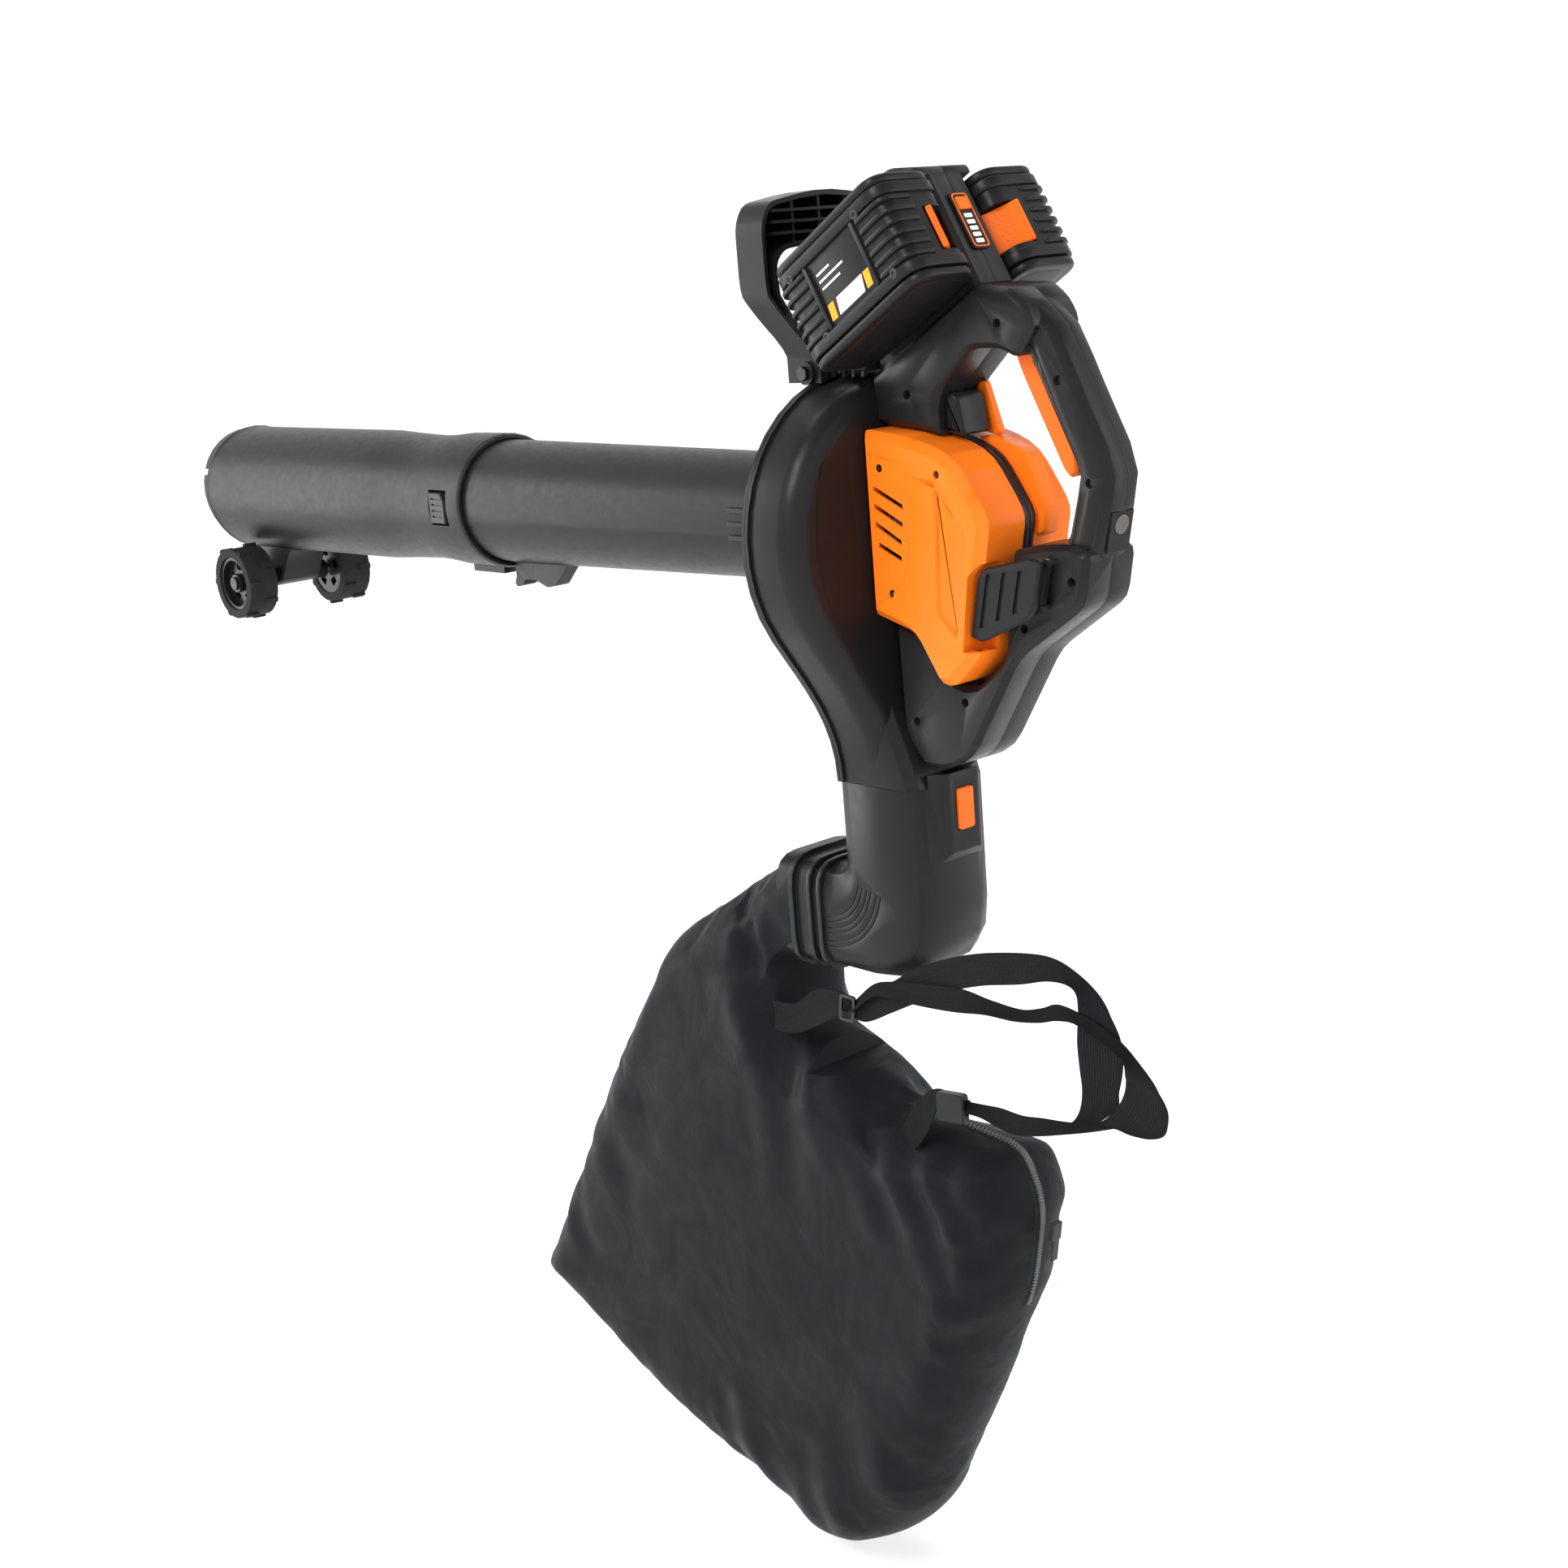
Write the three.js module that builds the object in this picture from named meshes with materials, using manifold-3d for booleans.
// Cordless leaf blower, vacuum and mulcher with a two-piece suction tube, a scroll fan
// housing, two battery packs, a discharge elbow and a collecting bag.
//
// Millimetres, +Z up. The suction tube and the fan turn about one line, the fan axis,
// which runs along X: the nozzle points to -X and the rear handle is at +X. The object is
// symmetric about the plane y = 0 in most of its parts; -Y is the user's left.
// Inside this file every part is placed from the fan axis; the whole group is then
// moved so that the origin is the middle of the rear grip.

import * as THREE from 'three';
import { mergeVertices } from 'three/addons/utils/BufferGeometryUtils.js';
import Module from 'manifold-3d';

const wasm = await Module();
wasm.setup();

// ---------------------------------------------------------------- driving dimensions

const GAP = 0.3;                 // clearance between neighbouring pieces
const DEG = Math.PI / 180;

// Stations along the fan axis
const MOUTH_X = -450;            // tip of the nozzle
const JOINT_X = 0;               // rear edge of the nozzle tube's socket
const FLANGE_X = 430;            // plane where the two fan housing shells meet
const FAN_FRONT_X = 402;         // front face of the scroll
const FAN_REAR_X = 476;          // flat rear face of the scroll
const GRIP = { x: 636, z: 80 };  // middle of the rear grip

// Suction tube
const WALL = 2.5;
const MOUTH_R = 59.3;
const NECK_R = 54;
const SOCKET_R = 57;
const TUBE_R = 52.4;
const TUBE_END_R = 45.4;
const TUBE_END_X = 398;
const INLET_X = 370;             // front edge of the fan housing's inlet collar
const SOCKET_DEPTH = 46;

// Transport wheels under the nozzle
const AXLE = { x: -394, z: -85.2, r: 4 };
const WHEEL = { r: 36.5, inner: 37.1, outer: 66.9, rim: 26 };

// Scroll: its radius grows from the top round the left side to the outlet
const SCROLL = { top: 103, left: 115.5, right: 96, leftEnd: 127, rightEnd: 120, step: 9.5 };
const FLANGE_OUT = 2.2;          // how far the flange stands out round the scroll
const DUCT = { front: 418, rear: 500, half: 40, round: 20, top: -182 };

// Body housing
const HOUSING_HALF = 25;         // half the thickness of tower and lower body
const SPINE_HALF = 5;            // half the thickness of the web between the covers
const COLUMN_HALF = 17.5;        // half the thickness of the column between the packs
const COVER_HALF = 46;           // outer face of the motor covers
const COVER_CHAMFER = 6;
const SKIN = 3;                  // wall of the housing halves

// Battery packs, on a frame tilted up to the rear
const TILT = 30 * DEG;
const PACK = { u: 522, w: -104.5, length: 120, height: 76, inner: 20.6, outer: 79 };

// Discharge elbow
const ELBOW = { outlet: 384, floor: -331, ceiling: -251 };

// ---------------------------------------------------------------- solids from geometry

function solidOf(geometry) {
  const bare = geometry.clone();
  bare.deleteAttribute('normal');
  bare.deleteAttribute('uv');
  const merged = mergeVertices(bare, 1e-4);
  const corners = merged.index.array;
  const kept = [];
  for (let i = 0; i < corners.length; i += 3) {
    const [a, b, c] = [corners[i], corners[i + 1], corners[i + 2]];
    if (a !== b && b !== c && c !== a) kept.push(a, b, c);
  }
  return new wasm.Manifold(new wasm.Mesh({
    numProp: 3,
    vertProperties: new Float32Array(merged.attributes.position.array),
    triVerts: new Uint32Array(kept),
  }));
}

function geometryOf(solid) {
  const mesh = solid.getMesh();
  const geometry = new THREE.BufferGeometry();
  geometry.setAttribute('position', new THREE.BufferAttribute(new Float32Array(mesh.vertProperties), 3));
  geometry.setIndex(new THREE.BufferAttribute(new Uint32Array(mesh.triVerts), 1));
  geometry.computeVertexNormals();
  return geometry;
}

const join = (first, ...others) => others.reduce((sum, other) => sum.add(other), first);
const cut = (first, ...others) => others.reduce((rest, other) => rest.subtract(other), first);
const common = (first, second) => first.intersect(second);

// A box from its lowest to its highest corner
function block([x0, y0, z0], [x1, y1, z1]) {
  const geometry = new THREE.BoxGeometry(x1 - x0, y1 - y0, z1 - z0);
  geometry.translate((x0 + x1) / 2, (y0 + y1) / 2, (z0 + z1) / 2);
  return solidOf(geometry);
}

// Corners [a, b, radius] moved inwards by a distance, each edge parallel to itself. The
// radius of an outer corner shrinks with it, and that of an inner corner grows.
function shrink(corners, distance) {
  const points = corners.map(([a, b]) => new THREE.Vector2(a, b));
  const turn = Math.sign(THREE.ShapeUtils.area(points));
  const inward = (from, to) => {
    const edge = to.clone().sub(from).normalize();
    return new THREE.Vector2(-edge.y, edge.x).multiplyScalar(turn);
  };
  return points.map((here, i) => {
    const before = points[(i + points.length - 1) % points.length];
    const after = points[(i + 1) % points.length];
    const first = inward(before, here);
    const second = inward(here, after);
    const outer = turn * first.cross(second) > 0;
    const moved = here.clone().addScaledVector(first.clone().add(second),
      distance / (1 + first.dot(second)));
    const radius = corners[i][2] ?? 0;
    return [moved.x, moved.y, radius && Math.max(radius + (outer ? -distance : distance), 0.2)];
  });
}

// Points of the outline with its corners rounded; a corner without radius stays sharp
function rounded(corners, segments) {
  const points = [];
  corners.forEach(([a, b, wanted = 0], i) => {
    const here = new THREE.Vector2(a, b);
    const [before, after] = [corners.at(i - 1), corners[(i + 1) % corners.length]]
      .map(([c, d]) => new THREE.Vector2(c, d));
    const room = 0.45 * Math.min(here.distanceTo(before), here.distanceTo(after));
    const radius = Math.min(wanted, room);
    const start = before.sub(here).setLength(radius).add(here);
    const end = after.sub(here).setLength(radius).add(here);
    const corner = new THREE.QuadraticBezierCurve(start, here, end);
    points.push(...(wanted ? corner.getPoints(segments) : [here]));
  });
  return points;
}

// A closed skin over rings of points that all have the same count; the ends are flat
function skin(rings, flat) {
  const count = rings[0].length;
  const index = [];
  for (let ring = 0; ring + 1 < rings.length; ring += 1) {
    for (let i = 0; i < count; i += 1) {
      const a = ring * count + i;
      const b = ring * count + (i + 1) % count;
      index.push(a, b, a + count, b, b + count, a + count);
    }
  }
  const last = (rings.length - 1) * count;
  flat(0).forEach(([a, b, c]) => index.push(a, c, b));
  flat(rings.length - 1).forEach(([a, b, c]) => index.push(last + a, last + b, last + c));
  const geometry = new THREE.BufferGeometry();
  const positions = rings.flat().flatMap((point) => point.toArray());
  geometry.setAttribute('position', new THREE.Float32BufferAttribute(positions, 3));
  geometry.setIndex(index);
  return geometry;
}

// A plate of this outline from depth 0 to its thickness, its two rims rounded by a bevel
function plate(corners, thickness, { bevel = 0, steps = 1, segments = 4 } = {}) {
  const list = THREE.ShapeUtils.area(corners.map(([x, y]) => new THREE.Vector2(x, y))) > 0
    ? corners : [...corners].reverse();
  const levels = [];
  for (let step = 0; bevel && step < steps; step += 1) {
    const angle = (step / steps) * 90 * DEG;
    levels.push([bevel * (1 - Math.sin(angle)), bevel * (1 - Math.cos(angle))]);
  }
  levels.push([0, bevel]);
  const rims = [...levels, ...levels.map(([inset, depth]) => [inset, thickness - depth]).reverse()];
  const rings = rims.map(([inset, depth]) => rounded(inset ? shrink(list, inset) : list, segments)
    .map((point) => new THREE.Vector3(point.x, point.y, depth)));
  const flat = (ring) => THREE.ShapeUtils.triangulateShape(
    rings[ring].map((point) => new THREE.Vector2(point.x, point.y)), []);
  return skin(rings, flat);
}

const ALONG_X = new THREE.Matrix4().makeBasis(
  new THREE.Vector3(0, 1, 0), new THREE.Vector3(0, 0, 1), new THREE.Vector3(1, 0, 0));
const ALONG_Y = new THREE.Matrix4().makeBasis(
  new THREE.Vector3(0, 0, 1), new THREE.Vector3(1, 0, 0), new THREE.Vector3(0, 1, 0));

// An outline drawn in (y, z), swept from x0 to x1
function sweepX(corners, x0, x1, options) {
  return solidOf(plate(corners, x1 - x0, options).applyMatrix4(ALONG_X).translate(x0, 0, 0));
}

// An outline drawn in (z, x), swept from y0 to y1
function sweepY(corners, y0, y1, options) {
  return solidOf(plate(corners, y1 - y0, options).applyMatrix4(ALONG_Y).translate(0, y0, 0));
}

// An outline drawn in (x, y), swept from z0 to z1
function sweepZ(corners, z0, z1, options) {
  return solidOf(plate(corners, z1 - z0, options).translate(0, 0, z0));
}

// The same outline given as [x, z, radius] corners
const side = (corners) => corners.map(([x, z, radius]) => [z, x, radius]);

// A profile of [x, radius] points turned about the X axis
function turned(profile, sides = 32) {
  const points = profile.map(([x, radius]) => new THREE.Vector2(radius, x));
  const geometry = new THREE.LatheGeometry(points, sides);
  return solidOf(geometry.rotateZ(-Math.PI / 2));
}

const rodX = (radius, x0, x1, sides = 24) =>
  turned([[x0, 0], [x0, radius], [x1, radius], [x1, 0]], sides);

function rodY(radius, y0, y1, x, z, sides = 16) {
  const geometry = new THREE.CylinderGeometry(radius, radius, y1 - y0, sides);
  return solidOf(geometry.translate(x, (y0 + y1) / 2, z));
}

function rodZ(radius, z0, z1, x, y, sides = 16) {
  const geometry = new THREE.CylinderGeometry(radius, radius, z1 - z0, sides).rotateX(90 * DEG);
  return solidOf(geometry.translate(x, y, (z0 + z1) / 2));
}

function roundRect(halfA, halfB, radius, midA = 0, midB = 0) {
  return [[midA - halfA, midB - halfB, radius], [midA + halfA, midB - halfB, radius],
    [midA + halfA, midB + halfB, radius], [midA - halfA, midB + halfB, radius]];
}

// A closed solid over rings of points whose ends are convex
function loft(rings) {
  const fan = () => rings[0].slice(2).map((_, i) => [0, i + 1, i + 2]);
  return solidOf(skin(rings, fan));
}

// ---------------------------------------------------------------- materials and nodes

const paint = (color, roughness, metalness = 0) =>
  new THREE.MeshStandardMaterial({ color, roughness, metalness });
const BLACK = () => paint(0x2c2c2e, 0.5);
const ORANGE = () => paint(0xff7a1a, 0.4);
const RUBBER = () => paint(0x1d1d1e, 0.85);
const STEEL = () => paint(0x9a9da0, 0.35, 1);
const CLOTH = () => paint(0x24272b, 0.9);

const machine = new THREE.Group();
machine.position.set(-GRIP.x, 0, -GRIP.z);

function add(parent, name, solid, material, position = [0, 0, 0]) {
  const mesh = new THREE.Mesh(geometryOf(solid), material);
  mesh.name = name;
  mesh.position.set(...position);
  parent.add(mesh);
  return mesh;
}

// The same solid moved by a matrix; a mirroring matrix also turns its triangles round
function moved(solid, matrix) {
  const geometry = geometryOf(solid).applyMatrix4(matrix);
  if (matrix.determinant() < 0) geometry.index.array.reverse();
  return solidOf(geometry);
}

const mirrorY = (solid) => moved(solid, new THREE.Matrix4().makeScale(1, -1, 1));
const shifted = (solid, x, y, z) => moved(solid, new THREE.Matrix4().makeTranslation(x, y, z));

// ---------------------------------------------------------------- suction tube

// Nozzle tube: rolled lip at the raked mouth, long barrel, neck, then the socket
function nozzleTube() {
  const outer = [[MOUTH_X, MOUTH_R - 1.2], [-436, MOUTH_R - 0.2], [-433, MOUTH_R + 1.2], [-428, MOUTH_R],
    [-180, 57.8], [-140, 55.4], [-104, NECK_R], [-76, 54.8], [-49, SOCKET_R], [JOINT_X - 3, SOCKET_R],
    [JOINT_X, SOCKET_R - 1.6]];
  const inner = [[JOINT_X, TUBE_R + GAP], [-SOCKET_DEPTH - GAP, TUBE_R + GAP],
    [-SOCKET_DEPTH - GAP, TUBE_R - 2 * WALL], [-104, NECK_R - 2 * WALL], [-180, 57.8 - WALL],
    [MOUTH_X, MOUTH_R - 1.2 - WALL]];
  const shell = turned([...outer, ...inner, outer[0]]);
  const rake = solidOf(new THREE.BoxGeometry(60, 200, 200).rotateY(-8 * DEG)
    .translate(MOUTH_X - 22, 0, 0));
  const notch = block([MOUTH_X - 20, -70, 18], [MOUTH_X + 13, -40, 24]);
  const window = block([-45, -70, -15], [-19, -30, 15]);
  const lug = block([-58, -9, -62], [-12, 9, -53.5]);
  const ring = turned([[-60, 50], [-60, 80], [-10, 80], [-10, SOCKET_R - 1], [-49, SOCKET_R - 1],
    [-60, 52], [-60, 50]]);
  return join(cut(shell, rake, notch, window), common(lug, ring));
}

// Upper tube: slides into the socket, tapers to the fan housing, with three ribs on each
// side by the housing and a hook below for the bag's loop
function upperTube() {
  const shell = turned([[-SOCKET_DEPTH, TUBE_R], [3, TUBE_R], [INLET_X - 2, TUBE_END_R + 0.8],
    [INLET_X - 2, TUBE_END_R], [TUBE_END_X, TUBE_END_R], [TUBE_END_X, TUBE_END_R - WALL],
    [3, TUBE_R - WALL], [-SOCKET_DEPTH, TUBE_R - WALL], [-SOCKET_DEPTH, TUBE_R]]);
  const core = rodX(TUBE_R - WALL - 1, -SOCKET_DEPTH, 120);
  const endCore = rodX(TUBE_END_R - 1, 300, TUBE_END_X + 1);
  const hook = sweepY(side([[2, -50], [2, -64], [-1, -70, 2], [2, -73, 2], [12, -71, 3], [14, -66, 2],
    [30, -66, 4], [46, -71, 2], [58, -69, 2], [78, -50]]), -7, 7);
  const ribs = [-10, 0, 10].flatMap((z) => [-1, 1].map((sign) => block(
    [336, Math.min(sign * 40, sign * 48.5), z - 1.8], [366, Math.max(sign * 40, sign * 48.5), z + 1.8])));
  const window = block([-43.5, -70, -13.5], [-20.5, -30, 13.5]);
  return cut(join(shell, cut(hook, core), ...ribs.map((rib) => cut(rib, endCore))), window);
}

// Spring button that pokes through both tubes and locks the nozzle tube
function tubeLatchButton() {
  const face = sweepY(side([[-43, -13], [-21, -13], [-21, 6], [-27, 13], [-43, 13]]),
    -57.6, -46, { bevel: 1 });
  const grooves = [-8, -3, 2, 7].map((z) => block([-39, -58.5, z], [-25, -56.4, z + 1.6]));
  return cut(face, ...grooves);
}

add(machine, 'nozzle_tube', nozzleTube(), BLACK());
add(machine, 'upper_tube', upperTube(), BLACK());
add(machine, 'tube_latch_button', tubeLatchButton(), BLACK());

// ---------------------------------------------------------------- transport wheels

function axleBracket() {
  const barrel = rodX(MOUTH_R + 0.2, MOUTH_X, -300, 40);
  const saddle = sweepY(side([[-425, -50], [-420, -66, 4], [-406, -92, 6], [-382, -92, 6],
    [-366, -66, 4], [-350, -50]]), -22, 22, { bevel: 2 });
  const housing = rodY(9, -34, 34, AXLE.x, AXLE.z, 14);
  const bore = rodY(AXLE.r + GAP, -40, 40, AXLE.x, AXLE.z, 12);
  return cut(join(saddle, housing), barrel, bore);
}

function tyre() {
  const width = WHEEL.outer - WHEEL.inner;
  const mid = (WHEEL.outer + WHEEL.inner) / 2;
  const band = cut(rodY(WHEEL.r - 2.4, -width / 2, width / 2, 0, 0, 24),
    rodY(WHEEL.rim, -width, width, 0, 0, 24));
  const lugs = [];
  for (let i = 0; i < 12; i += 1) {
    const lug = new THREE.BoxGeometry(5, width * 0.42, 8).translate(0, (i % 2 ? 1 : -1) * width * 0.27,
      WHEEL.r - 4);
    lugs.push(solidOf(lug.rotateY(i * 30 * DEG)));
  }
  return shifted(join(band, ...lugs), 0, mid, 0);
}

function wheel() {
  const rim = WHEEL.rim - GAP;
  const outer = rodY(rim, WHEEL.inner + 1, WHEEL.outer - 2, 0, 0, 24);
  const dish = rodY(rim - 3, WHEEL.outer - 9, WHEEL.outer, 0, 0, 24);
  const hub = rodY(9, WHEEL.outer - 14, WHEEL.outer - 3, 0, 0, 12);
  const bore = rodY(AXLE.r + GAP, WHEEL.inner, WHEEL.outer + 1, 0, 0, 12);
  const windows = [];
  for (let i = 0; i < 5; i += 1) {
    const window = new THREE.BoxGeometry(9, 60, 7).translate(0, WHEEL.outer, 16);
    windows.push(solidOf(window.rotateY(i * 72 * DEG)));
  }
  return cut(join(cut(outer, dish), hub), bore, ...windows);
}

const axlePlace = [AXLE.x, 0, AXLE.z];
add(machine, 'axle_bracket', axleBracket(), BLACK());
add(machine, 'wheel_axle', rodY(AXLE.r, -WHEEL.outer + 4, WHEEL.outer - 4, 0, 0), STEEL(), axlePlace);
for (const [name, flip] of [['left', true], ['right', false]]) {
  const place = (solid) => (flip ? mirrorY(solid) : solid);
  add(machine, `${name}_wheel`, place(wheel()), BLACK(), axlePlace);
  add(machine, `${name}_tyre`, place(tyre()), RUBBER(), axlePlace);
  const cap = rodY(6.5, WHEEL.outer - 2.6, WHEEL.outer - 0.4, 0, 0, 12);
  add(machine, `${name}_hub_cap`, place(cap), STEEL(), axlePlace);
}

// ---------------------------------------------------------------- fan housing

// Outline of the scroll and its outlet in (y, z), grown by a margin
function scrollOutline(grow = 0) {
  const at = (angle, radius) => new THREE.Vector2(-Math.sin(angle * DEG) * radius,
    Math.cos(angle * DEG) * radius);
  const points = [];
  for (let angle = -SCROLL.rightEnd; angle <= SCROLL.leftEnd; angle += SCROLL.step) {
    const [last, full] = angle < 0 ? [SCROLL.rightEnd, SCROLL.right] : [SCROLL.leftEnd, SCROLL.left];
    points.push(at(angle, SCROLL.top + (full - SCROLL.top) * Math.abs(angle) / last + grow));
  }
  const left = points.at(-1);
  const right = points[0];
  const half = DUCT.half + grow;
  const foot = DUCT.top + GAP / 2;
  const down = new THREE.CubicBezierCurve(left, new THREE.Vector2(left.x + 26, left.y - 38),
    new THREE.Vector2(-half, foot + 44), new THREE.Vector2(-half, foot));
  const up = new THREE.CubicBezierCurve(new THREE.Vector2(half, foot), new THREE.Vector2(half, foot + 70),
    new THREE.Vector2(right.x - 20, right.y - 30), right);
  const steps = 8;
  return [...points, ...down.getPoints(steps).slice(1), ...up.getPoints(steps).slice(0, -1)]
    .map((point) => [point.x, point.y]);
}

// The outlet runs down and widens to the rear until it has the elbow's section
function outletDuct(inset) {
  const ring = (z, front, rear, half) => {
    const corners = roundRect((rear - front) / 2 - inset, half - inset, DUCT.round - inset,
      (rear + front) / 2, 0);
    return rounded(corners, 3).map((point) => new THREE.Vector3(point.x, point.y, z));
  };
  const stations = [[-96, 420, 472], [-130, 419, 480], [-160, 418, 493],
    [DUCT.top + GAP / 2, 418, DUCT.rear]];
  const cutDepth = inset ? 2 : 0;
  return loft(stations.map(([z, front, rear], i) =>
    ring(i === stations.length - 1 ? z - cutDepth : z, front, rear, DUCT.half)).reverse());
}

function fanShell(rear) {
  const sweep = { bevel: rear ? 17 : 7, steps: rear ? 3 : 1 };
  const from = rear ? 384 : FLANGE_X - 12;
  const to = rear ? FAN_REAR_X : FLANGE_X + 24;
  const scroll = sweepX(scrollOutline(), from, to, sweep);
  const hollow = sweepX(scrollOutline(-SKIN), from + SKIN, to - SKIN, sweep);
  const flange = sweepX(scrollOutline(FLANGE_OUT), FLANGE_X - 3, FLANGE_X + 3);
  const face = turned([[FAN_FRONT_X, 0], [FAN_FRONT_X, 86], [412, 97], [440, 97], [440, 0]]);
  const faceHollow = turned([[FAN_FRONT_X + SKIN, 0], [FAN_FRONT_X + SKIN, 84], [414, 94], [440, 94],
    [440, 0]]);
  const duct = outletDuct(0);
  const ductHollow = outletDuct(SKIN);
  const inlet = turned([[INLET_X, TUBE_END_R + GAP], [INLET_X, TUBE_END_R + 4], [404, TUBE_END_R + 4],
    [404, TUBE_END_R + GAP], [INLET_X, TUBE_END_R + GAP]]);
  const foot = block([380, -60, -300], [520, 60, DUCT.top + GAP / 2]);
  if (rear) {
    const front = block([300, -200, -300], [FLANGE_X + GAP / 2, 200, 300]);
    const shaftHole = rodX(14, FLANGE_X, 520);
    return cut(join(scroll, flange, duct), hollow, ductHollow, front, foot, shaftHole);
  }
  const back = block([FLANGE_X - GAP / 2, -200, -300], [600, 200, 300]);
  const mouth = rodX(TUBE_END_R + GAP, 360, 440, 40);
  const body = cut(join(scroll, flange, face, duct), hollow, faceHollow, ductHollow, back, foot);
  return cut(join(body, inlet), mouth);
}

add(machine, 'front_fan_housing', fanShell(false), BLACK());
add(machine, 'rear_fan_housing', fanShell(true), BLACK());

// ---------------------------------------------------------------- fan and motor

function impeller() {
  const disc = turned([[452, 5 - 0.4], [452, 78], [455, 78], [455, 5 - 0.4], [452, 5 - 0.4]], 36);
  const hub = turned([[428, 4.6], [432, 12], [455, 18], [460, 18], [460, 4.6], [428, 4.6]], 24);
  const blades = [];
  for (let i = 0; i < 8; i += 1) {
    const blade = new THREE.BoxGeometry(30, 2.4, 62).rotateX(14 * DEG).translate(438, 0, 46);
    blades.push(solidOf(blade.rotateX(i * 45 * DEG)));
  }
  return join(disc, cut(join(hub, ...blades), rodX(4.6, 420, 470)));
}

const ring = (x0, x1, inner, outer, sides = 16) =>
  turned([[x0, inner], [x0, outer], [x1, outer], [x1, inner], [x0, inner]], sides);

function motorCase() {
  const can = ring(488, 545, 26, 30, 20);
  const plate = ring(484, 488.5, 12, 34, 20);
  const end = ring(544, 549, 9, 30, 20);
  const vents = [0, 90, 180, 270].map((angle) =>
    solidOf(new THREE.BoxGeometry(20, 10, 16).translate(515, 0, 30).rotateX(angle * DEG)));
  return cut(join(can, plate, end), ...vents);
}

add(machine, 'impeller', impeller(), paint(0x3a3a3c, 0.5));
add(machine, 'motor_shaft', rodX(4.2, 424, 560), STEEL());
add(machine, 'front_bearing', ring(477, 484 - GAP, 4.5, 11), STEEL());
add(machine, 'rear_bearing', ring(549.4, 556, 4.5, 9), STEEL());
add(machine, 'motor_case', motorCase(), STEEL());
add(machine, 'motor_rotor', ring(494, 538, 4.5, 22), paint(0x6a4a35, 0.5, 0.5));

// ---------------------------------------------------------------- body housing

// Outlines in (x, z) with corner radii. The covers' outline is also that of the web
// between them; the tower stands on it and the lower body hangs below it.
const COVER_SIDE = [[477, 69, 4], [513, 65, 10], [543, 58, 12], [562, 48, 10], [580, 22, 8], [587, 10, 10],
  [581, -16, 20], [574, -77, 8], [549, -101, 6], [536, -101, 6], [514, -67, 6], [488, -60, 6],
    [477, -57, 2]];
const MOTOR_GAP_SIDE = [[470, 38], [483, 38], [483, 56], [535, 50], [552, 42], [570, 12], [566, -14],
  [560, -62], [545, -85], [538, -85], [514, -54], [483, -50], [483, -38], [470, -38]];
const TOWER_SIDE = [[470, 102.4], [470, 70.8], [513, 66.8], [529, 63.6], [529, 84, 8], [534, 94, 6],
  [562, 119, 4], [586, 119, 5], [602, 112, 5], [618, 132, 6], [610, 147, 6], [597, 157, 4],
    [567.6, 158.8, 1]];
const SPINE_SIDE = [[470, 96], [472, 214, 6], [480, 230, 8], [500, 234, 6], [524, 233, 3], [526.3, 230.5],
  [567.2, 159.6], [560, 140], [500, 90]];
const ROOF_SIDE = [[484, 206], [486, 229, 6], [499, 236, 6], [524, 235, 4], [526.9, 229.9]];
const LOWER_SIDE = [[477.5, -64], [488, -67], [512, -73], [532, -105, 6], [552, -105, 6], [578, -84, 6],
  [586, -30, 6], [590, -10, 4], [622, -5, 8], [640, -4, 6], [655, -10, 6], [648, -44, 8], [590, -82, 10],
  [543, -155, 12], [520, -166, 10], [497, -166, 4], [480, -146, 10]];
const GRIP_PATH = [[588, 138], [602, 134], [614.2, 122.3], [623.2, 105], [632.2, 86.3], [641.4, 68],
  [650, 51.3],
  [654, 38], [650, 20], [643, -4], [634, -22]];
const GRIP_HALF = { depth: 15.4, width: 18 };

// Rear grip: rounded sections square to its path
function gripSolid(inset = 0) {
  const path = GRIP_PATH.map(([x, z]) => new THREE.Vector3(x, 0, z));
  const sides = 12;
  const square = 0.7;
  const flatten = (value) => Math.sign(value) * Math.abs(value) ** square;
  return loft(path.map((point, i) => {
    const before = path[Math.max(i - 1, 0)];
    const after = path[Math.min(i + 1, path.length - 1)];
    const along = after.clone().sub(before).normalize();
    const across = new THREE.Vector3(-along.z, 0, along.x);
    return Array.from({ length: sides }, (_, k) => {
      const angle = (-k / sides) * 2 * Math.PI;
      return point.clone()
        .addScaledVector(across, flatten(Math.cos(angle)) * (GRIP_HALF.depth - inset))
        .add(new THREE.Vector3(0, flatten(Math.sin(angle)) * (GRIP_HALF.width - inset), 0));
    });
  }));
}

// Screw places in (x, z), each with a boss from wall to wall
const SCREWS = [[504, 90], [588, 134.7], [630, 97.9], [652, 34], [640, -28], [598, -61], [541, -116],
  [494, -134]];
const BOSS_R = 4.6;
const SCREW_HEAD = { r: 3, from: -15, to: -12.4 };
const SCREW_SHANK = { r: 1.5, to: 12 };

// Room that the trigger swings in
const TRIGGER_SLOT = [[576, 124], [588, 130], [606, 122], [628, 88], [648, 54], [648, 42], [634, 26],
  [606, 26]];
const TRIGGER_HALF = 8;
const TRIGGER_PIN = { x: 596, z: 121, r: 2 };

// Economy-mode panel on the rear of the grip, in a frame that leans with the surface
const ECO = { x: 659.6, z: 2, lean: 13 * DEG, tall: 27, wide: 21, button: 6.6, buttonUp: 5 };
const leaning = (place) => new THREE.Matrix4().makeRotationY(place.lean).setPosition(place.x,
  place.y ?? 0, place.z);

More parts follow.
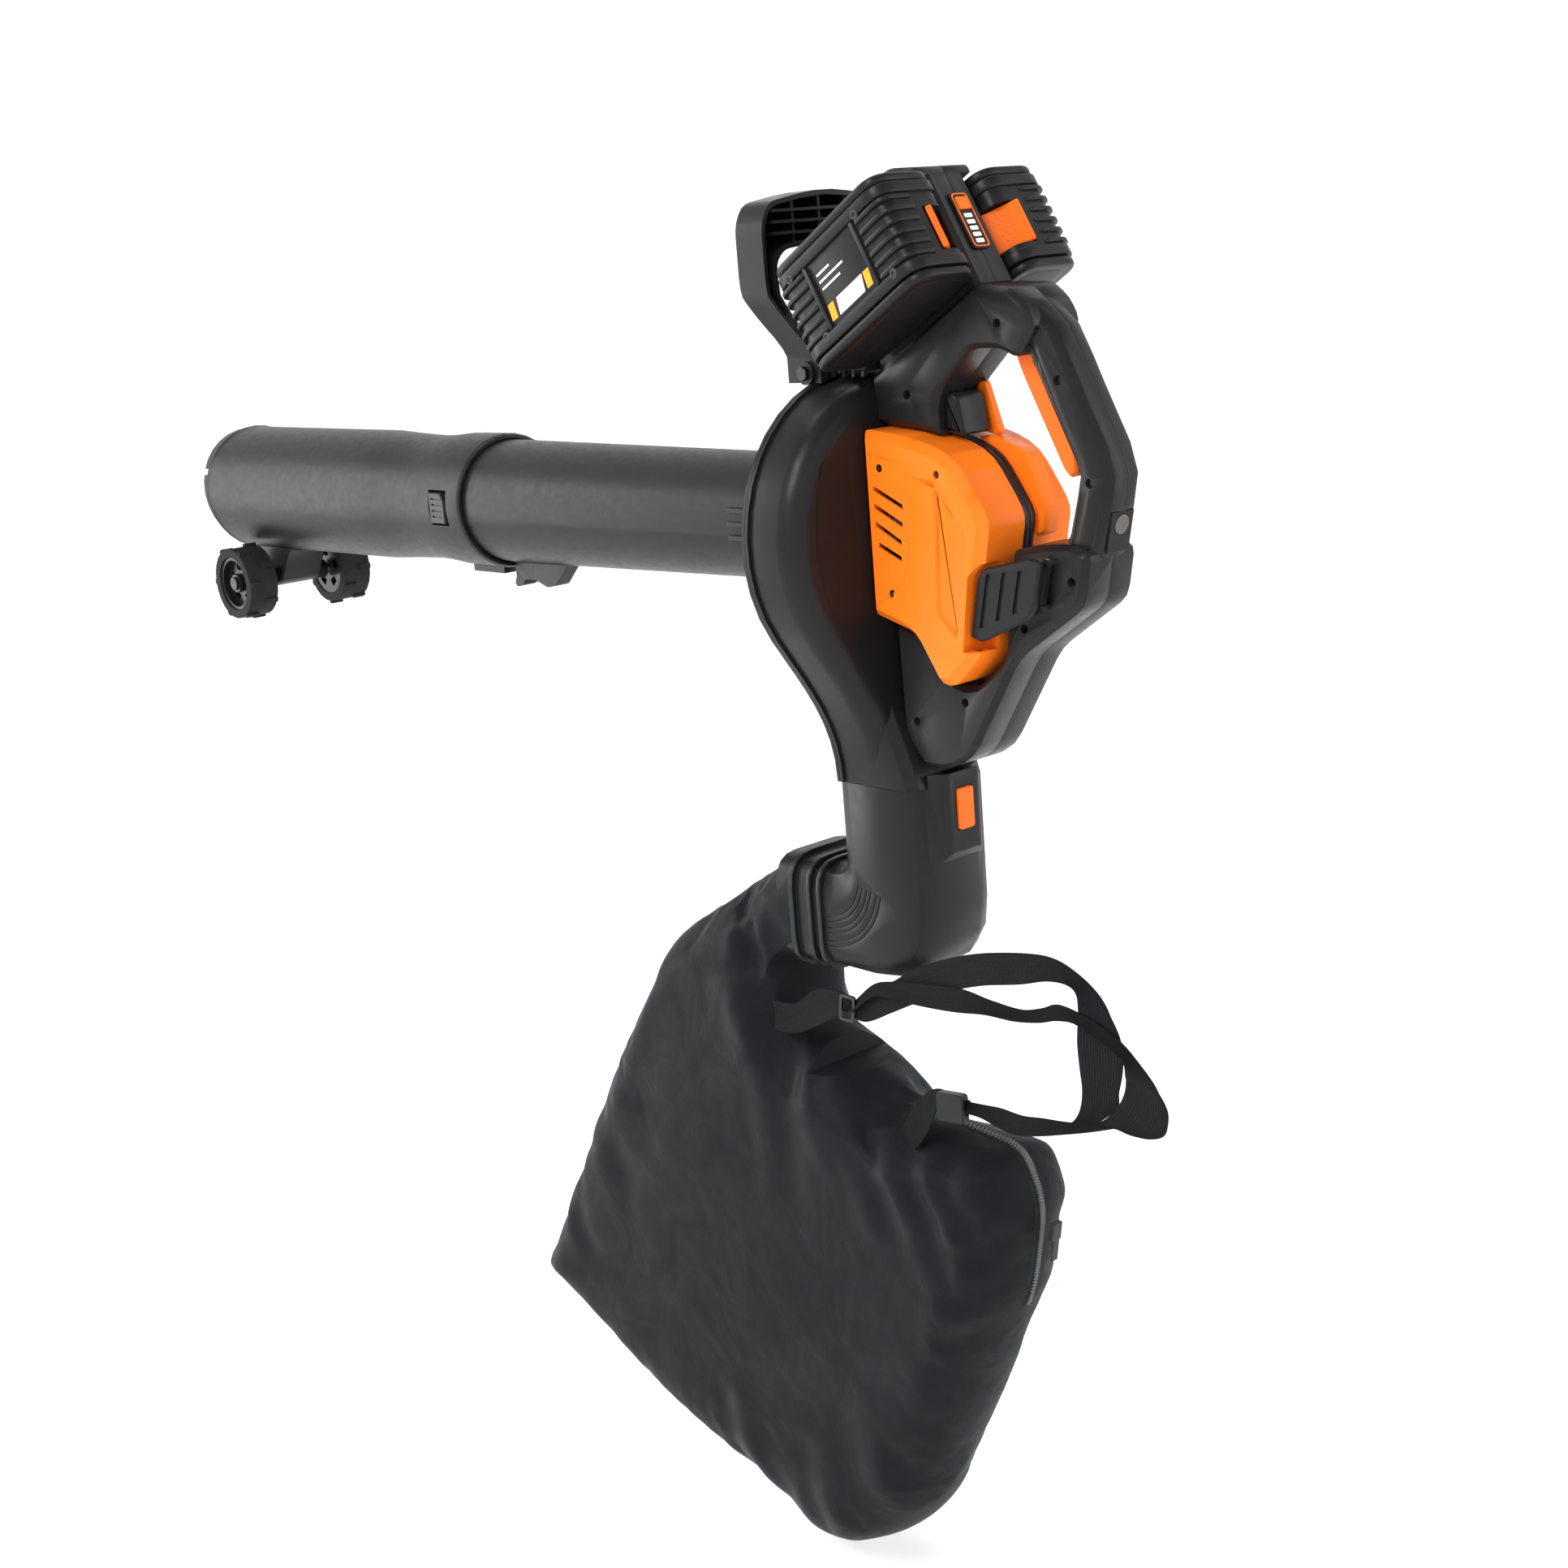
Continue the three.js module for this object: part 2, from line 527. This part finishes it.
function ecoRoom() {
  const half = ECO.wide / 2 + GAP;
  const tall = ECO.tall / 2 + GAP;
  const well = rodX(ECO.button + 0.4, -1.4, 4, 16);
  return moved(join(block([-GAP, -half, -tall], [6, half, tall]), shifted(well, 0, 0, ECO.buttonUp)),
    leaning(ECO));
}

// Side paddle on the left, hinged along its rear edge between two lugs of the housing
const PADDLE = { x: 624, y: -30.5, z: -37, lean: 13.6 * DEG };
const PADDLE_PIN = { x: -3.5, r: 1.5, low: -9, high: 24 };

function paddleLugs() {
  const { x, r, low, high } = PADDLE_PIN;
  const lug = (z) => cut(block([x - 4, -3, z], [x + 4, 14, z + 3]), rodZ(r + GAP, z - 1, z + 4, x, 0, 10));
  return moved(join(lug(low), lug(high - 3)), leaning(PADDLE));
}

function housingBody() {
  const edge = { bevel: 4, steps: 1, segments: 2 };
  const half = HOUSING_HALF;
  const tower = sweepY(side(TOWER_SIDE), -half, half, edge);
  const column = sweepY(side(SPINE_SIDE), -COLUMN_HALF, COLUMN_HALF, { bevel: 3, segments: 2 });
  const roof = sweepY(side(ROOF_SIDE), -half - 2, half + 2, { bevel: 3, segments: 2 });
  const lower = sweepY(side(LOWER_SIDE), -half, half, edge);
  const web = sweepY(side(COVER_SIDE), -SPINE_HALF, SPINE_HALF, { segments: 2 });
  const outside = join(tower, column, roof, lower, web, gripSolid());
  const hollows = [
    sweepY(side(shrink(TOWER_SIDE, SKIN + 1)), -half + SKIN, half - SKIN, { segments: 1 }),
    sweepY(side(shrink(SPINE_SIDE, SKIN)), -COLUMN_HALF + SKIN, COLUMN_HALF - SKIN, { segments: 1 }),
    sweepY(side(shrink(LOWER_SIDE, SKIN + 1)), -half + SKIN, half - SKIN, { segments: 1 }),
    gripSolid(SKIN),
  ];
  const bosses = SCREWS.map(([x, z]) => common(rodY(BOSS_R, -half - 5, half + 5, x, z, 8), outside));
  const ties = [[[478, -SPINE_HALF, 60], [527, SPINE_HALF, 73]], [[480, -SPINE_HALF, -84],
    [502, SPINE_HALF, -58]],
    [[536, -SPINE_HALF, -112], [549, SPINE_HALF, -98]]].map(([low, high]) => block(low, high));
  const sockets = SCREWS.map(([x, z]) => rodY(SCREW_HEAD.r + GAP, -half - 5, SCREW_HEAD.to, x, z, 8));
  const pilots = SCREWS.map(([x, z]) => rodY(SCREW_SHANK.r + GAP, SCREW_HEAD.to - 1, SCREW_SHANK.to + 1,
    x, z, 6));
  const slot = sweepY(side(TRIGGER_SLOT), -TRIGGER_HALF - GAP, TRIGGER_HALF + GAP);
  const motorGap = sweepY(side(MOTOR_GAP_SIDE), -SPINE_HALF - 1, SPINE_HALF + 1);
  const shell = cut(outside, ...hollows, motorGap);
  const fanRoom = join(sweepX(scrollOutline(GAP), 384, FAN_REAR_X + GAP, { bevel: 17, steps: 3 }),
    outletDuct(-GAP));
  const pinBore = rodY(TRIGGER_PIN.r + GAP, -13.5, 13.5, TRIGGER_PIN.x, TRIGGER_PIN.z, 12);
  return cut(join(shell, ...bosses, ...ties, paddleLugs()),
    ...sockets, ...pilots, slot, fanRoom, pinBore, ecoRoom());
}

function halfOf(solid, sign) {
  const far = 1000;
  const keep = sign < 0 ? [-far, -GAP / 2] : [GAP / 2, far];
  return common(solid, block([-far, keep[0], -far], [far, keep[1], far]));
}

function screw() {
  const head = rodY(SCREW_HEAD.r, SCREW_HEAD.from, SCREW_HEAD.to - 0.2, 0, 0, 8);
  const shank = rodY(SCREW_SHANK.r, SCREW_HEAD.to - 0.4, SCREW_SHANK.to, 0, 0, 6);
  return join(head, shank);
}

const body = housingBody();
add(machine, 'left_housing', halfOf(body, -1), BLACK());
add(machine, 'right_housing', halfOf(body, 1), BLACK());
SCREWS.forEach(([x, z], i) => add(machine, `housing_screw_${i + 1}`, screw(), STEEL(), [x, 0, z]));

// ---------------------------------------------------------------- motor covers

// Slanting air slots, each from one (x, z) end to the other
const VENTS = [[[486, 30], [513, 18]], [[486, 18], [512, 6]], [[486, 6], [510, -6]], [[488, -8], [509, -17]]];
const VENT_HALF = 1.8;

// Rim of the right cover, which stands out round the gasket and shows behind the left one
function coverRim() {
  return sweepY(side([[536, 59.5], [548, 60, 2], [578, 50, 6], [594, 14, 5], [591, -4, 4], [580, -7], [572, 8],
    [560, 34], [545, 48]]), 8, 22, { bevel: 2, segments: 2 });
}

function motorCovers() {
  const outer = sweepY(side(COVER_SIDE), -COVER_HALF, COVER_HALF, { bevel: COVER_CHAMFER, segments: 2 });
  const inside = COVER_HALF - SKIN;
  const hollow = join(sweepY(side(shrink(COVER_SIDE, SKIN)),
    -inside + COVER_CHAMFER, inside - COVER_CHAMFER,
    { segments: 1 }),
    sweepY(side(shrink(COVER_SIDE, SKIN + COVER_CHAMFER)), -inside, inside, { segments: 1 }));
  const gap = block([400, -SPINE_HALF - GAP, -300], [700, SPINE_HALF + GAP, 300]);
  const vents = VENTS.map(([[x0, z0], [x1, z1]]) => sweepY(
    side([[x0, z0 - VENT_HALF], [x1, z1 - VENT_HALF], [x1, z1 + VENT_HALF], [x0, z0 + VENT_HALF]]), -60, 60));
  const well = [[562, -76], [570, -25], [579, -17], [600, -12.5], [640, -7], [640, -76]];
  const wellFloor = common(sweepY(side(shrink(well, -SKIN)), -27, -21), outer);
  const room = sweepY(side(well), -60, -24);
  const shaftRoom = rodX(13, 470, 490, 16);
  return cut(join(cut(outer, hollow), wellFloor), gap, ...vents, room, shaftRoom);
}

const covers = motorCovers();
const rearFaceGap = block([400, -100, -200], [FAN_REAR_X + GAP, 100, 200]);
add(machine, 'left_cover', cut(halfOf(covers, -1), rearFaceGap), ORANGE());
add(machine, 'right_cover', join(cut(halfOf(covers, 1), rearFaceGap), coverRim()), ORANGE());

// ---------------------------------------------------------------- trigger and switches

const TRIGGER_SIDE = [[590, 125, 3], [586, 113, 4], [591, 101, 6], [622, 41, 3], [628, 35, 3], [633, 38, 3],
  [634, 50, 5], [616, 84, 5], [602, 112, 3], [601, 126, 4]];

function trigger() {
  const blade = sweepY(side(TRIGGER_SIDE),
    -TRIGGER_HALF + 0.4, TRIGGER_HALF - 0.4, { bevel: 2, steps: 1, segments: 2 });
  return cut(blade, rodY(TRIGGER_PIN.r + GAP, -20, 20, TRIGGER_PIN.x, TRIGGER_PIN.z, 12));
}

add(machine, 'trigger', trigger(), ORANGE());
add(machine, 'trigger_pin', rodY(TRIGGER_PIN.r, -13, 13, 0, 0, 12), STEEL(),
  [TRIGGER_PIN.x, 0, TRIGGER_PIN.z]);

// Switch that the trigger presses, and the economy-mode panel
function switchBody() {
  const box = new THREE.BoxGeometry(6, 12, 14).rotateY(25 * DEG);
  return solidOf(box);
}

function ecoPanel() {
  const plateSolid = block([0, -ECO.wide / 2, -ECO.tall / 2], [1.6, ECO.wide / 2, ECO.tall / 2]);
  return cut(plateSolid, shifted(rodX(ECO.button + 0.4, -3, 3, 20), 0, 0, ECO.buttonUp));
}

function ecoButton() {
  return shifted(rodX(ECO.button, 0.6, 2.2, 20), 0, 0, ECO.buttonUp);
}

const ecoPlace = new THREE.Group();
ecoPlace.position.set(ECO.x, 0, ECO.z);
ecoPlace.rotation.y = ECO.lean;
machine.add(ecoPlace);

// Coil that pushes the trigger back: rings of the wire's section round the spring's axis
function triggerSpring() {
  const { radius, wire, pitch, turns } = { radius: 3.2, wire: 0.5, pitch: 6.1, turns: 4 };
  const perTurn = 9;
  const rings = Array.from({ length: turns * perTurn + 1 }, (_, i) => {
    const angle = (i / perTurn) * 360 * DEG;
    const out = new THREE.Vector3(0, Math.cos(angle), Math.sin(angle));
    const along = new THREE.Vector3(1, 0, 0);
    const middle = out.clone().multiplyScalar(radius).addScaledVector(along, (i / perTurn) * pitch);
    return [0, 1, 2, 3].map((k) => middle.clone()
      .addScaledVector(out, wire * Math.cos(-k * 90 * DEG)).addScaledVector(along,
        wire * Math.sin(-k * 90 * DEG)));
  });
  return loft(rings);
}

add(machine, 'trigger_spring', triggerSpring(), STEEL(), [635, 0, 46]);
add(machine, 'power_switch', switchBody(), paint(0x333335, 0.6), [646.5, 0, 64]);
add(ecoPlace, 'eco_panel', ecoPanel(), BLACK());
add(ecoPlace, 'eco_button', ecoButton(), paint(0x5a5550, 0.5));

// ---------------------------------------------------------------- side paddle

const PADDLE_SIDE = [[-1, -6, 2], [-1, 25, 3], [-10, 24, 2], [-46, 7, 3], [-52, -1, 3], [-51, -43, 2],
  [-41, -43, 3],
  [-6, -17, 4]];

function paddle() {
  const { x, r, low, high } = PADDLE_PIN;
  const face = sweepY(side(PADDLE_SIDE), -10.5, -4.2, { bevel: 1.5, segments: 2 });
  const knuckle = rodZ(3.2, low + 3 + GAP, high - 3 - GAP, x, 0, 12);
  const arm = block([x - 3, -5, low + 4], [x + 3, 0, high - 4]);
  const grooves = [0, 1, 2].map((row) => sweepY(side([[-44 + 13 * row, -34 + 9 * row],
    [-40 + 13 * row, -32 + 9 * row],
    [-40 + 13 * row, 5 + 5 * row], [-44 + 13 * row, 3 + 5 * row]]), -12, -9));
  return cut(join(face, knuckle, arm), rodZ(r + GAP, -30, 40, x, 0, 10), ...grooves);
}

const paddlePlace = new THREE.Group();
paddlePlace.position.set(PADDLE.x, PADDLE.y, PADDLE.z);
paddlePlace.rotation.y = PADDLE.lean;
machine.add(paddlePlace);
add(paddlePlace, 'side_paddle', paddle(), BLACK());
add(paddlePlace, 'paddle_pin', rodZ(PADDLE_PIN.r, PADDLE_PIN.low, PADDLE_PIN.high, PADDLE_PIN.x, 0, 10),
  STEEL());

// ---------------------------------------------------------------- battery packs

// Frame tilted up to the rear: packs slide off along its +X
const dock = new THREE.Group();
dock.rotation.y = -TILT;
machine.add(dock);

function batteryPack() {
  const { u, w, length, height, inner, outer } = PACK;
  const depth = (outer + inner) / 2;
  const endHeight = 14;
  const end = roundRect(length / 2, (outer - inner) / 2, 17, u, -depth);
  const caps = [w - height / 2, w + height / 2 - endHeight].map((low) =>
    sweepZ(end, low, low + endHeight, { bevel: 4, steps: 1, segments: 4 }));
  const middle = sweepZ(roundRect(length / 2 - 4, (outer - inner) / 2 - 1.5, 11, u, -depth),
    w - height / 2 + 10, w + height / 2 - 10, { segments: 2 });
  const fins = [0, 1, 2, 3, 4].flatMap((row) => [-1, 1].map((sign) => {
    const z = w - 17 + row * 8.5;
    const from = u + sign * 32;
    const to = u + sign * 55;
    return block([Math.min(from, to), -outer + 0.4, z - 1.6], [Math.max(from, to), -outer + 4, z + 1.6]);
  }));
  const pocket = block([u + length / 2 - 14, -inner - 22.5, w - 10.5 - 14],
    [u + length, -inner - 2.5, w + 3.5 + 14]);
  return cut(join(...caps, middle, ...fins), pocket);
}

function batteryLatch() {
  const { u, w, length, inner } = PACK;
  return sweepY(side([[u + length / 2 - 9, w - 17.5], [u + length / 2 - 9, w + 10.5],
    [u + length / 2 - 2, w + 10.5, 2],
    [u + length / 2 + 1, w + 8, 2], [u + length / 2 - 1, w - 15, 2], [u + length / 2 - 4, w - 17.5, 2]]),
    -inner - 21, -inner - 4, { bevel: 1.5, segments: 2 });
}

function dockPlate() {
  const { u, w } = PACK;
  return block([u - 36, -20.2, w - 24], [u + 40, -17.8, w + 24]);
}

const CHARGE = { u: 571.9, low: -121.6, high: -80, half: 8.2 };
function chargePanel() {
  const panel = sweepX([[-CHARGE.half, CHARGE.low, 3], [CHARGE.half, CHARGE.low, 3],
    [CHARGE.half, CHARGE.high, 3],
    [-CHARGE.half, CHARGE.high, 3]], CHARGE.u, CHARGE.u + 1.6);
  return cut(panel, block([CHARGE.u - 1, -5.3, -93.3], [CHARGE.u + 3, 5.3, -83.7]));
}

for (const [name, flip] of [['left', false], ['right', true]]) {
  const place = (solid) => (flip ? mirrorY(solid) : solid);
  add(dock, `${name}_battery`, place(batteryPack()), BLACK());
  add(dock, `${name}_battery_latch`, place(batteryLatch()), ORANGE());
  add(dock, `${name}_battery_dock`, place(dockPlate()), BLACK());
}
add(dock, 'charge_panel', chargePanel(), BLACK());
add(dock, 'charge_button', block([CHARGE.u + 0.9, -5, -93], [CHARGE.u + 2.9, 5, -84]), ORANGE());

// ---------------------------------------------------------------- front handle

const ARM = { x0: 384, x1: 411 };
const BOLT = { x: 425, z: 106.5, r: 2.8 };

// Saddle over the scroll that the handle's feet are bolted to, ribbed towards the tower
function handleBracket() {
  const top = sweepX([[-34, 70], [34, 70], [34, 112, 6], [24, 117, 6], [-24, 117, 6], [-34, 112, 6]],
    405, 438);
  const bridge = sweepX([[-30, 80], [30, 80], [30, 108, 8], [20, 112, 8], [-20, 112, 8], [-30, 108, 8]],
    437, 469.5);
  const windows = [441, 450.5, 460].map((x) => block([x, -60, 99], [x + 7, 60, 107]));
  const saddle = sweepX(scrollOutline(FLANGE_OUT + GAP), 380, 480);
  const bore = rodY(BOLT.r + GAP, -60, 60, BOLT.x, BOLT.z, 10);
  const under = block([380, -26, 60], [480, 26, 106]);
  return cut(join(top, bridge), saddle, ...windows, bore, under);
}

// U-shaped handle: channel section open to the rear, with a deep slatted grip on top
function frontHandle() {
  const across = [[-60, 160], [-60, 208, 14], [-52, 222, 10], [0, 230, 60], [52, 222, 10], [60, 208, 14],
    [60, 160],
    [40, 118], [40, 84], [34.4, 84], [34.4, 120], [48, 160], [48, 182, 8], [40, 190, 6], [0, 194, 40],
      [-40, 190, 6],
    [-48, 182, 8], [-48, 160], [-34.4, 120], [-34.4, 84], [-40, 84], [-40, 118]];
  const band = sweepX(across, 380, 440, { segments: 3 });
  const lean = sweepY(side([[ARM.x0, 240], [ARM.x0, 165, 10], [391, 147, 8], [405, 124, 8], [405, 80],
    [438, 80], [438, 114, 6], [424, 134, 12], [ARM.x1, 160, 12], [ARM.x1, 240]]), -80, 80, { segments: 2 });
  const channel = sweepX([[-57, 160], [-57, 207, 12], [-50, 219, 8], [0, 226.5, 60], [50, 219, 8],
    [57, 207, 12],
    [57, 160], [50, 145], [46.6, 149], [51, 162], [51, 184, 8], [41, 193.5, 6], [0, 197.5, 40],
      [-41, 193.5, 6],
    [-51, 184, 8], [-51, 162], [-46.6, 149], [-50, 145]], ARM.x0 + 5, 440, { segments: 2 });
  const slats = [201, 208.5, 216].map((z) => block([ARM.x0 + 2, -49, z - 1], [ARM.x1, 49, z + 1]));
  const ribs = [-25, 0, 25].map((y) => block([ARM.x0 + 2, y - 1, 195], [ARM.x1 - 6, y + 1, 226]));
  const handle = join(cut(common(band, lean), channel),
    ...[...slats, ...ribs].map((rib) => common(rib, common(band, lean))));
  const bosses = [-1, 1].map((sign) => rodY(8, Math.min(sign * 38, sign * 43),
    Math.max(sign * 38, sign * 43), BOLT.x, BOLT.z, 16));
  return cut(join(handle, ...bosses), rodY(BOLT.r + GAP, -60, 60, BOLT.x, BOLT.z, 10),
    sweepX(scrollOutline(FLANGE_OUT + GAP), 380, 480));
}

add(machine, 'handle_bracket', handleBracket(), BLACK());
add(machine, 'front_handle', frontHandle(), BLACK());
for (const [name, sign] of [['left', -1], ['right', 1]]) {
  const bolt = join(rodY(5, 43.3, 46.3, 0, 0, 6), rodY(BOLT.r, 29, 43.4, 0, 0, 10));
  add(machine, `${name}_handle_bolt`, sign < 0 ? mirrorY(bolt) : bolt, STEEL(), [BOLT.x, 0, BOLT.z]);
}

// ---------------------------------------------------------------- discharge elbow

const ELBOW_SIDE = [[DUCT.front, DUCT.top + 30], [DUCT.rear, DUCT.top + 30], [DUCT.rear, ELBOW.floor, 56],
  [ELBOW.outlet - 20, ELBOW.floor], [ELBOW.outlet - 20, ELBOW.ceiling], [DUCT.front, ELBOW.ceiling, 10]];

function elbow() {
  const half = DUCT.half;
  const duct = sweepY(side(ELBOW_SIDE), -half, half, { bevel: 18, steps: 2, segments: 4 });
  const bore = sweepY(side(shrink(ELBOW_SIDE, SKIN)),
    -half + SKIN, half - SKIN, { bevel: 15, steps: 2, segments: 3 });
  const above = block([300, -100, DUCT.top - GAP / 2], [600, 100, -100]);
  const before = block([300, -100, -400], [ELBOW.outlet, 100, -100]);
  const ribs = [384, 395].map((x) => sweepX(roundRect(half + 3, 43, 22, 0,
    (ELBOW.floor + ELBOW.ceiling) / 2), x, x + 4));
  const pod = sweepZ([[490, -27], [498, -27, 2], [511, -16, 4], [511, 16, 4], [498, 27, 2], [490, 27]],
    -236, -172);
  const podFoot = solidOf(new THREE.BoxGeometry(60, 80, 40).rotateY(40 * DEG).translate(528, 0, -256));
  const room = block([496, -8.3, -214.3], [520, 8.3, -183.7]);
  const podTop = block([480, -60, DUCT.top - GAP / 2], [DUCT.rear + GAP, 60, -100]);
  const shell = join(cut(duct, above, before), cut(pod, podFoot, podTop), ...ribs);
  return cut(shell, cut(bore, shifted(before, -2, 0, 0)), room,
    block([300, -100, DUCT.top - GAP / 2], [497, 100, -100]));
}

add(machine, 'elbow', elbow(), BLACK());
add(machine, 'elbow_latch', sweepX(roundRect(7.5, 15, 2.5, 0, -199), 503.5, 513.5, { bevel: 1 }), ORANGE());

// ---------------------------------------------------------------- collecting bag

// Rigid frame that the bag's neck is clamped on; its spigot pushes into the elbow
const FRAME = { x0: 350, rib: 366, x1: ELBOW.outlet - GAP, tip: 398 };
const NECK_MID = (ELBOW.floor + ELBOW.ceiling) / 2;
const neckOutline = (grow, radius = 20 + grow) =>
  roundRect(DUCT.half + grow, (ELBOW.ceiling - ELBOW.floor) / 2 + grow, radius, 0, NECK_MID);

function bagFrame() {
  const sleeve = sweepX(neckOutline(1.5), FRAME.x0, FRAME.x1);
  const rib = sweepX(neckOutline(5), FRAME.rib, FRAME.rib + 5);
  const spigot = sweepX(neckOutline(-SKIN - GAP, 26), FRAME.x0, FRAME.tip);
  return cut(join(sleeve, rib, spigot), sweepX(neckOutline(-SKIN - 2.3, 24), FRAME.x0 - 1, FRAME.tip + 1));
}

// Soft bag: outline in (x, z), pillow-shaped across, its neck drawn over the frame
const BAG_SIDE = [[352, -262, 8], [181, -340, 30], [80, -478, 40], [-58, -718, 30], [135, -806, 60],
  [252, -834, 60],
  [345, -864, 40], [435, -812, 60], [493, -706, 60], [560, -566, 20], [573, -494, 20], [556, -452, 16],
  [443, -433, 20], [352, -390, 16], [334, -352, 12]];
const BAG_HALF = 46;
// Sections of the neck, each its x, top, bottom and half width
const NECK_HALF = DUCT.half + 1.5 + GAP + 2.5;
const NECK_STATIONS = [[366, NECK_MID + NECK_HALF, NECK_MID - NECK_HALF, NECK_HALF],
  [346, NECK_MID + NECK_HALF, NECK_MID - NECK_HALF, NECK_HALF], [300, -277, -352, 45],
    [250, -308, -375, 43],
  [205, -342, -400, 36]];
const CLOTH_WALL = 2.5;

function bag() {
  const pillow = (inset) => sweepY(side(shrink(BAG_SIDE, inset)), -BAG_HALF + inset, BAG_HALF - inset,
    { bevel: 26, steps: 2, segments: 2 });
  const neck = (inset, mouth) => loft(NECK_STATIONS.map(([x, top, bottom, half], i) => {
    const section = roundRect(half - inset, (top - bottom) / 2 - inset, 21 - inset, 0, (top + bottom) / 2);
    return rounded(section, 3).map((point) => new THREE.Vector3(i ? x : mouth, point.x, point.y));
  }).reverse());
  const mouth = FRAME.rib - GAP;
  return cut(join(pillow(0), neck(0, mouth)), pillow(CLOTH_WALL), neck(CLOTH_WALL, mouth + 1));
}

// Zip slider on the seam at the bag's rear edge
const ZIP = { x: 572.6, z: -503, lean: 10.2 * DEG };
function zipSlider() {
  const body = block([0.6, -4.5, -7], [5, 4.5, 7]);
  const pull = block([3.4, -3, -24], [5, 3, -6]);
  return join(body, pull);
}

// A flat band along a path in (x, z), with each station its own width
function ribbon(path, y0, y1) {
  const points = path.map(([x, z]) => new THREE.Vector2(x, z));
  const edge = (sign) => points.map((point, i) => {
    const along = points[Math.min(i + 1, points.length - 1)].clone().sub(points[Math.max(i - 1,
      0)]).normalize();
    const half = sign * path[i][2] / 2;
    return [point.x - along.y * half, point.y + along.x * half];
  });
  return sweepY(side([...edge(1), ...edge(-1).reverse()]), y0, y1);
}

// Shoulder strap: one flat length of webbing that runs out from a loop beside the neck, folds
// over at its far end, and comes back to the buckle; a second run crosses over the first
const STRAP_OUT = [[364, -372, 22], [394, -358, 24], [419, -350, 14], [432, -350, 10], [449, -345, 24],
  [474, -334, 25],
  [531, -306, 25], [598, -287, 21], [640, -287, 14], [656, -291, 12]];
const STRAP_DOWN = [[657, -286, 16], [667, -320, 35], [665, -355, 32], [660, -378, 30]];
const STRAP_TIP = [[676, -312, 10], [692, -327, 10], [703, -340, 24], [706, -356, 34], [699, -374, 40]];
const STRAP_BACK = [[700, -376, 10], [660, -384, 12], [640, -391, 8], [613, -397, 12], [593, -401, 14],
  [556, -400, 10],
  [508, -406, 13], [484, -428, 18], [466, -452, 18]];
const STRAP_CROSS = [[447, -338, 8], [457, -332, 10], [505, -324, 16], [543, -320, 17], [597, -320, 9],
  [634, -310, 10],
  [667, -315, 8], [690, -325, 8]];
const STRAP_Y = -51;
const STRAP_THICK = 3;

function strap() {
  const flat = [STRAP_OUT, STRAP_DOWN, STRAP_TIP, STRAP_BACK].map((path) => ribbon(path, STRAP_Y,
    STRAP_Y + STRAP_THICK));
  return join(...flat, ribbon(STRAP_CROSS, STRAP_Y - 2.5, STRAP_Y + 0.5));
}

// Buckle at the strap's lower end: a flat frame that the webbing runs through
function strapBuckle() {
  const frame = sweepY(side([[517, -416, 3], [543, -413, 3], [543, -391, 3], [517, -394, 3]]),
    STRAP_Y - 3, STRAP_Y + 4.5,
    { bevel: 1, segments: 2 });
  const slot = ribbon(STRAP_BACK.slice(4, 7).map(([x, z, width]) => [x, z, width + 2 * GAP]), STRAP_Y - GAP,
    STRAP_Y + STRAP_THICK + GAP);
  return cut(frame, slot);
}

// Wire ring at the strap's upper end, in front of the webbing that is looped round it
function strapRing() {
  const low = STRAP_Y - 2.3;
  const outer = sweepY(side([[421, -361, 3], [437, -361, 3], [440, -340, 3], [424, -340, 3]]), low, low + 2,
    { segments: 2 });
  const inner = sweepY(side([[423.5, -358.5, 2], [434.5, -358.5, 2], [437.3, -342.5, 2],
    [426.3, -342.5, 2]]), low - 2,
    low + 4, { segments: 2 });
  return cut(outer, inner);
}

const zipPlace = new THREE.Group();
zipPlace.position.set(ZIP.x, 0, ZIP.z);
zipPlace.rotation.y = ZIP.lean;
machine.add(zipPlace);

add(machine, 'bag_frame', bagFrame(), BLACK());
const wholeBag = bag();
add(machine, 'left_bag_panel', halfOf(wholeBag, -1), CLOTH());
add(machine, 'right_bag_panel', halfOf(wholeBag, 1), CLOTH());
add(zipPlace, 'zip_slider', zipSlider(), STEEL());
add(machine, 'strap', strap(), CLOTH());
add(machine, 'strap_buckle', strapBuckle(), BLACK());
add(machine, 'strap_ring', strapRing(), STEEL());

export default machine;
